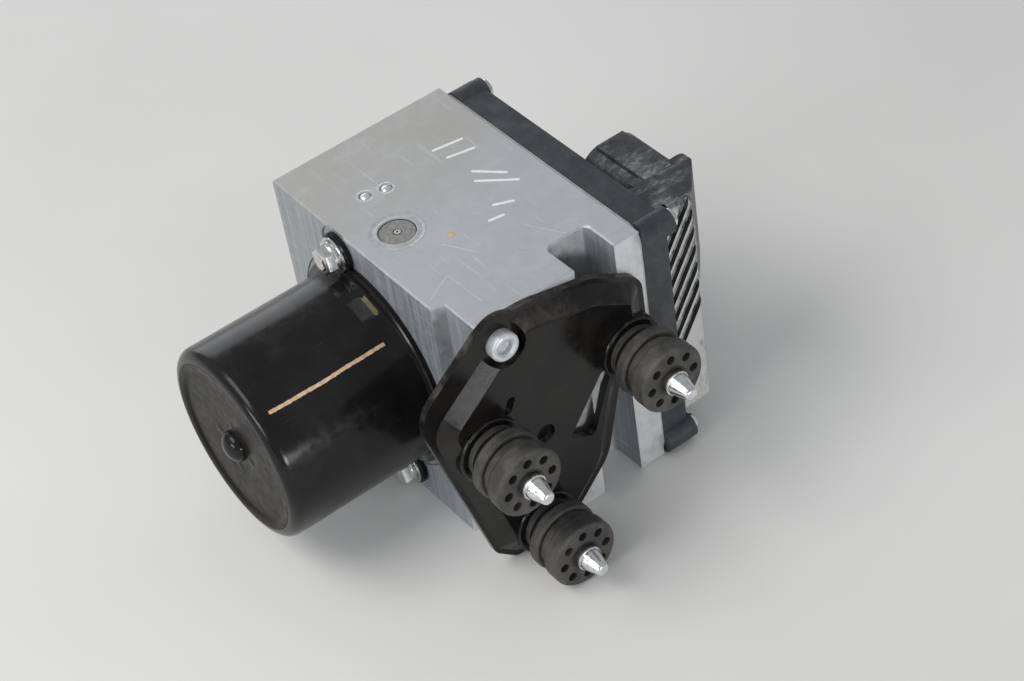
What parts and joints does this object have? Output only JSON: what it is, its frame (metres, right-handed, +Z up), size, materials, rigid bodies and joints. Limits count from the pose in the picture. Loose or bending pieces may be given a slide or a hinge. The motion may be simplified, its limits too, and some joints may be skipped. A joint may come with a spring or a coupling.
{
  "type": "abs brake module",
  "caption": "Anti-lock brake hydraulic unit: aluminium valve block with pump motor, control unit with connector, and bracket on rubber bushes.",
  "frame": {"origin": "centre of the valve block's resting side face, on the ground plane", "axes": "+X from the brake-line ports to the bracket, +Y from the motor to the control unit, +Z up as it lies"},
  "size_m": [0.1415, 0.1616, 0.1011],
  "materials": {
    "block_aluminium": "fine machined",
    "motor_black": "gloss black coating",
    "ferrite": "dull",
    "black_plastic": "matte",
    "carbon": "dull",
    "bearing_steel": "ground",
    "lamination_steel": "dull",
    "copper": "enamelled",
    "zinc_steel": "zinc plated",
    "seal_grey": "matte",
    "board_green": "solder resist",
    "pin_brass": "plated",
    "bracket_black": "gloss dip coating",
    "bush_rubber": "dusty matte"
  },
  "bodies": {
    "unit": {"valve_block": "block_aluminium", "motor_can": "motor_black", "motor_magnets": "ferrite", "brush_plate": "black_plastic", "carbon_brushes": "carbon", "motor_bearings": "bearing_steel", "motor_bolts": "zinc_steel", "motor_leads": "copper", "pump_plug_upper": "zinc_steel", "pump_plug_lower": "zinc_steel", "swage_rings": "block_aluminium", "pump_sleeves": "bearing_steel", "pump_pistons": "bearing_steel", "pump_springs": "bearing_steel", "ball_plugs": "bearing_steel", "accumulator_caps": "zinc_steel", "accumulator_pistons": "block_aluminium", "accumulator_springs": "bearing_steel", "valve_cartridges": "bearing_steel", "solenoid_coils": "copper", "ecu_gasket": "seal_grey", "ecu_frame": "black_plastic", "ecu_screws": "zinc_steel", "ecu_cover": "black_plastic", "circuit_board": "board_green", "connector_pins": "pin_brass", "bracket": "bracket_black", "bracket_screws": "zinc_steel", "bush_left": "bush_rubber", "bush_right": "bush_rubber", "bush_lower": "bush_rubber", "stud_left": "zinc_steel", "stud_right": "zinc_steel", "stud_lower": "zinc_steel"},
    "rotor": {"motor_shaft": "bearing_steel", "eccentric_ring": "bearing_steel", "armature": "lamination_steel", "armature_windings": "copper", "commutator": "copper"}
  },
  "joints": [
    {"name": "rotor_spin", "type": "hinge", "parent": "unit", "child": "rotor", "pos_m": [-0.0059, -0.03375, 0.0497], "axis": [0, 1, 0], "continuous": true}
  ]
}
